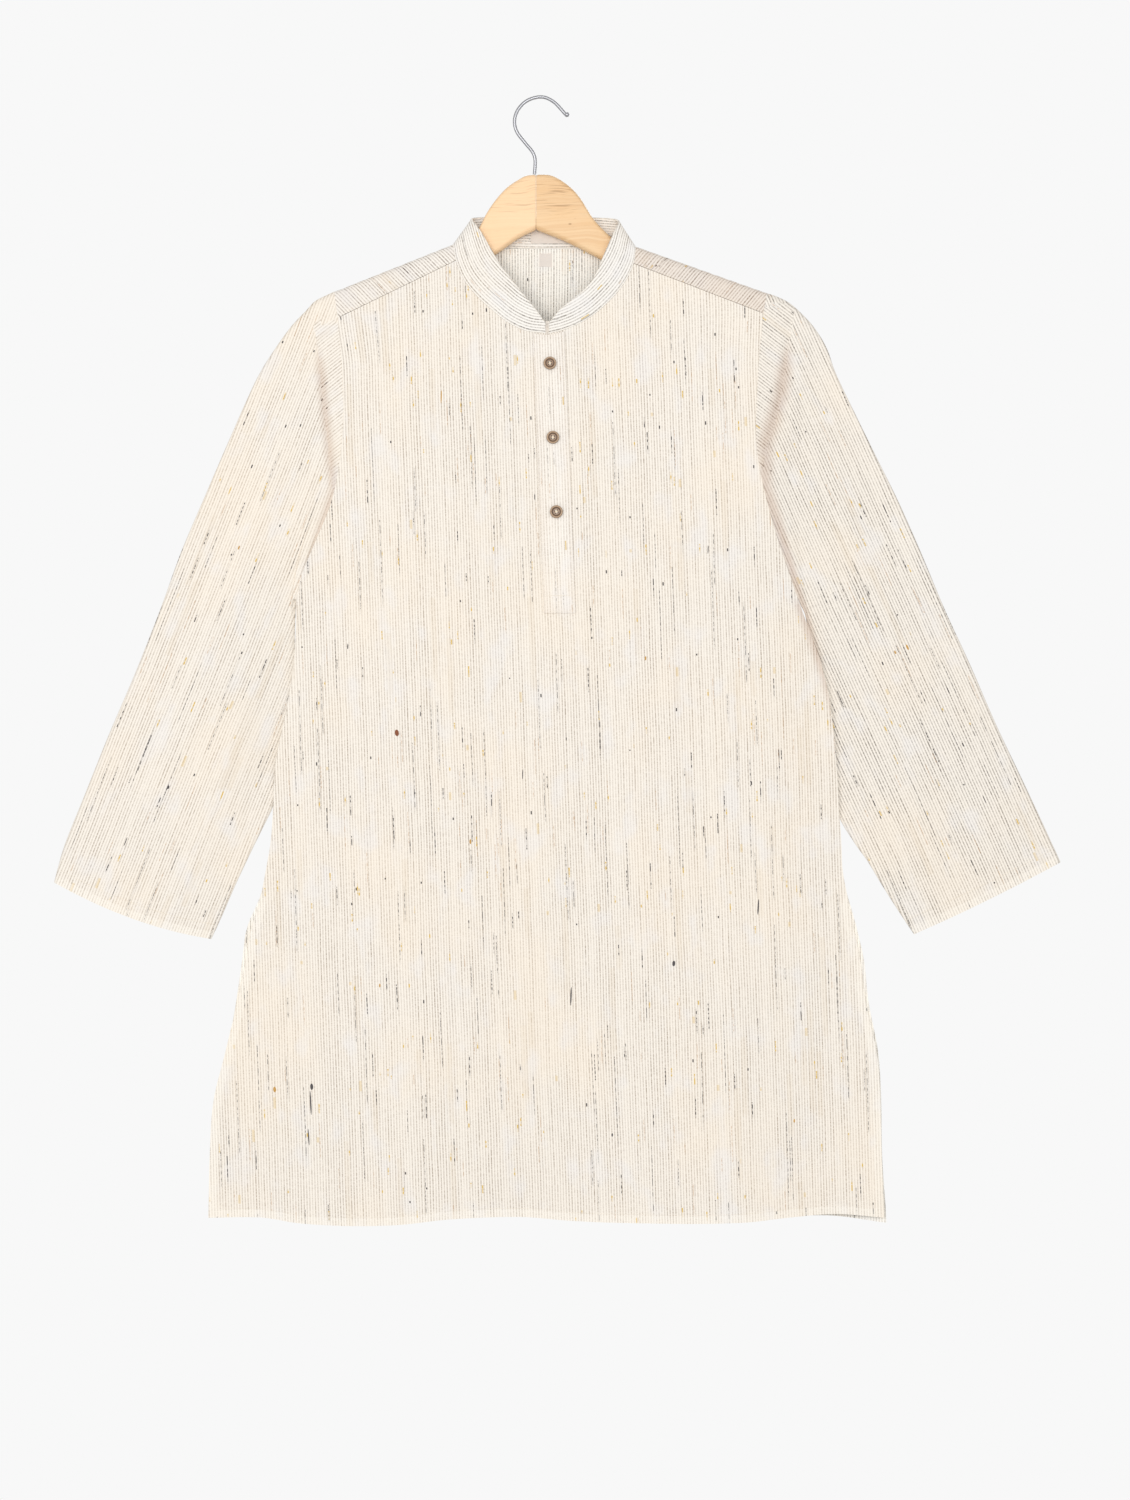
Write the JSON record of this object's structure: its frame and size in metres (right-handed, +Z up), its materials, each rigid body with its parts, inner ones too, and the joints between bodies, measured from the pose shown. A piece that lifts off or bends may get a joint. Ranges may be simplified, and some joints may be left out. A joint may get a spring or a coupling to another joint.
{
  "type": "kurta tunic on a wooden hanger",
  "caption": "Long-sleeved striped cotton kurta tunic with a mandarin collar, buttoned half placket and side slits, on a wooden hanger with a wire hook.",
  "frame": {"origin": "the inside of the hook's crown, where it rests on a rail", "axes": "+Z up, -Y the garment's front, +X the wearer's left"},
  "size_m": [0.9999, 0.0435, 1.1276],
  "materials": {
    "cloth": "matte handloom cotton, off-white with fine beige stripes and slubs",
    "placket": "matte handloom cotton, pressed double",
    "label": "matte woven tape, bare",
    "button": "satin brown",
    "wood": "satin clear lacquer on pale wood",
    "steel": "polished wire"
  },
  "bodies": {
    "root": {"front": "cloth", "back": "cloth", "right_sleeve": "cloth", "left_sleeve": "cloth", "collar": "placket", "placket_top": "placket", "placket_under": "placket", "button_1": "button", "button_2": "button", "button_3": "button", "neck_label": "label", "size_label": "label", "hanger_arm_right": "wood", "hanger_arm_left": "wood", "hanger_hook": "steel"}
  },
  "joints": []
}
